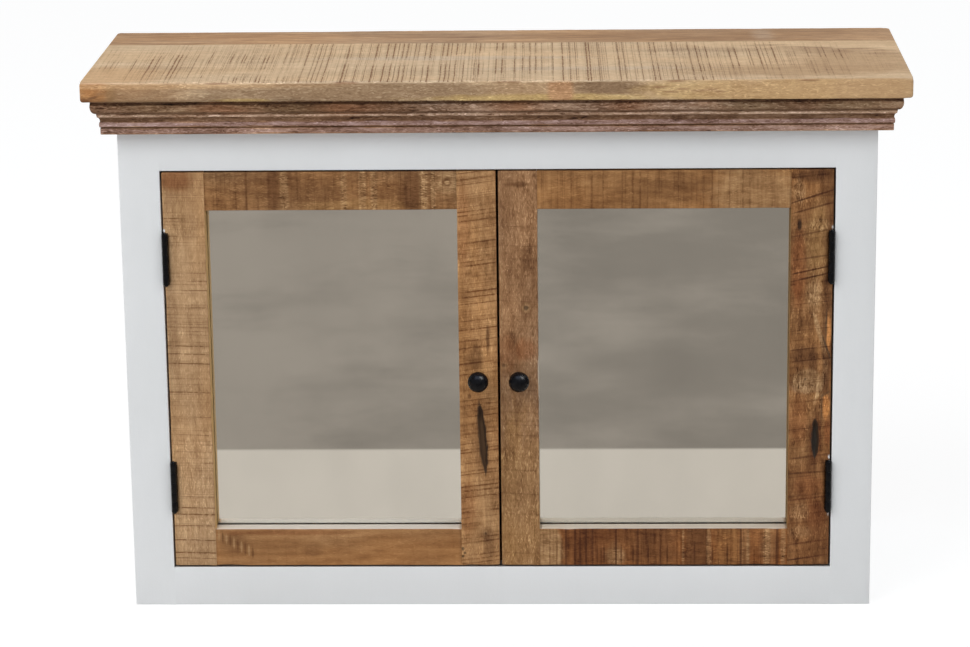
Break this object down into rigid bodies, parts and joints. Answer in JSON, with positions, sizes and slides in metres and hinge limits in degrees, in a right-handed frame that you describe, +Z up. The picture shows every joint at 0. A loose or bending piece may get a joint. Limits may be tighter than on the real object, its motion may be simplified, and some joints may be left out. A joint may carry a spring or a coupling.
{
  "type": "mirror cabinet",
  "caption": "Low cabinet with inset mirrored doors, ball knobs and butt hinges, a painted body, a mitred cornice and a sawn hardwood top.",
  "frame": {"origin": "on the floor, under the middle of the top's outline", "axes": "+X along the width to the right seen from the front, the doors face -Y, +Z up"},
  "size_m": [0.9, 0.31, 0.6103],
  "materials": {
    "sawn_top": "rough-sawn honey-brown hardwood, waxed",
    "sawn_door": "rough-sawn mid-brown hardwood, waxed",
    "cornice": "dark stained hardwood, satin",
    "white_paint": "white satin paint on wood",
    "plain_wood": "planed, unfinished",
    "plywood": "bare plywood",
    "mirror": "silvered float glass",
    "black_metal": "satin black",
    "steel": "zinc plated",
    "catch_body": "moulded, matt"
  },
  "bodies": {
    "cabinet": {"top_front_board": "sawn_top", "top_back_board": "sawn_top", "cornice_front": "cornice", "cornice_left": "cornice", "cornice_right": "cornice", "frame_left_stile": "white_paint", "frame_right_stile": "white_paint", "frame_top_rail": "white_paint", "frame_bottom_rail": "white_paint", "side_left": "white_paint", "side_right": "white_paint", "bottom_panel": "plain_wood", "hanging_rail": "plain_wood", "top_cleat_left": "plain_wood", "top_cleat_right": "plain_wood", "shelf": "plain_wood", "back_panel": "plywood", "shelf_pin_front_left": "steel", "shelf_pin_front_right": "steel", "shelf_pin_back_left": "steel", "shelf_pin_back_right": "steel", "catch_left": "catch_body", "catch_right": "catch_body", "left_upper_hinge_frame_leaf": "black_metal", "left_upper_hinge_pin": "black_metal", "left_lower_hinge_frame_leaf": "black_metal", "left_lower_hinge_pin": "black_metal", "right_upper_hinge_frame_leaf": "black_metal", "right_upper_hinge_pin": "black_metal", "right_lower_hinge_frame_leaf": "black_metal", "right_lower_hinge_pin": "black_metal"},
    "left_door": {"left_door_hinge_stile": "sawn_door", "left_door_meeting_stile": "sawn_door", "left_door_top_rail": "sawn_door", "left_door_bottom_rail": "sawn_door", "left_mirror": "mirror", "left_mirror_backing": "plywood", "left_knob": "black_metal", "left_knob_screw": "steel", "left_upper_hinge_door_leaf": "black_metal", "left_lower_hinge_door_leaf": "black_metal", "left_strike_plate": "steel"},
    "right_door": {"right_door_hinge_stile": "sawn_door", "right_door_meeting_stile": "sawn_door", "right_door_top_rail": "sawn_door", "right_door_bottom_rail": "sawn_door", "right_mirror": "mirror", "right_mirror_backing": "plywood", "right_knob": "black_metal", "right_knob_screw": "steel", "right_upper_hinge_door_leaf": "black_metal", "right_lower_hinge_door_leaf": "black_metal", "right_strike_plate": "steel"}
  },
  "joints": [
    {"name": "left_door_hinge", "type": "hinge", "parent": "cabinet", "child": "left_door", "pos_m": [-0.36745, -0.12445, 0.275], "axis": [0, 0, -1], "range_deg": [0, 180]},
    {"name": "right_door_hinge", "type": "hinge", "parent": "cabinet", "child": "right_door", "pos_m": [0.36745, -0.12445, 0.275], "axis": [0, 0, 1], "range_deg": [0, 180]}
  ]
}
